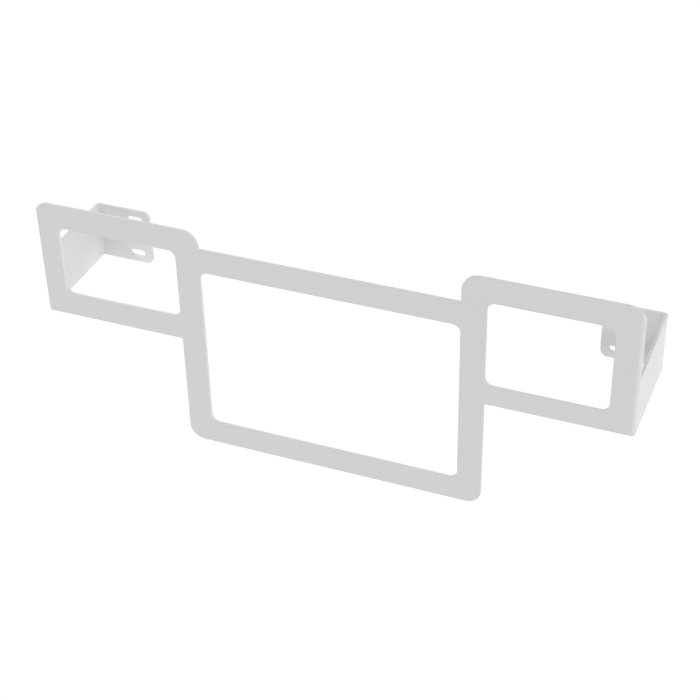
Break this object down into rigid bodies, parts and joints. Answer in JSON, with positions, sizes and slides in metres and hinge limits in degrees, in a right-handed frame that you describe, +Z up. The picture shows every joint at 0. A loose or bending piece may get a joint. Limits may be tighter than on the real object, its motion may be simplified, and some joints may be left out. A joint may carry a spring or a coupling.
{
  "type": "security gate front frame",
  "caption": "Folded white sheet-steel frame with open windows across the front, returned sides and slotted wall flanges.",
  "frame": {"origin": "middle of the four mounting slots, on the plane of the wall behind the rear flanges", "axes": "+Z up, front panel faces -Y, +Y points into the wall, +X to the right as seen from the front"},
  "size_m": [0.6, 0.1145, 0.2595],
  "materials": {
    "powder_coated_steel": "satin white powder coat, fine texture"
  },
  "bodies": {
    "root": {"front_frame": "powder_coated_steel", "left_side_wing": "powder_coated_steel", "right_side_wing": "powder_coated_steel", "left_mounting_flange": "powder_coated_steel", "right_mounting_flange": "powder_coated_steel"}
  },
  "joints": []
}
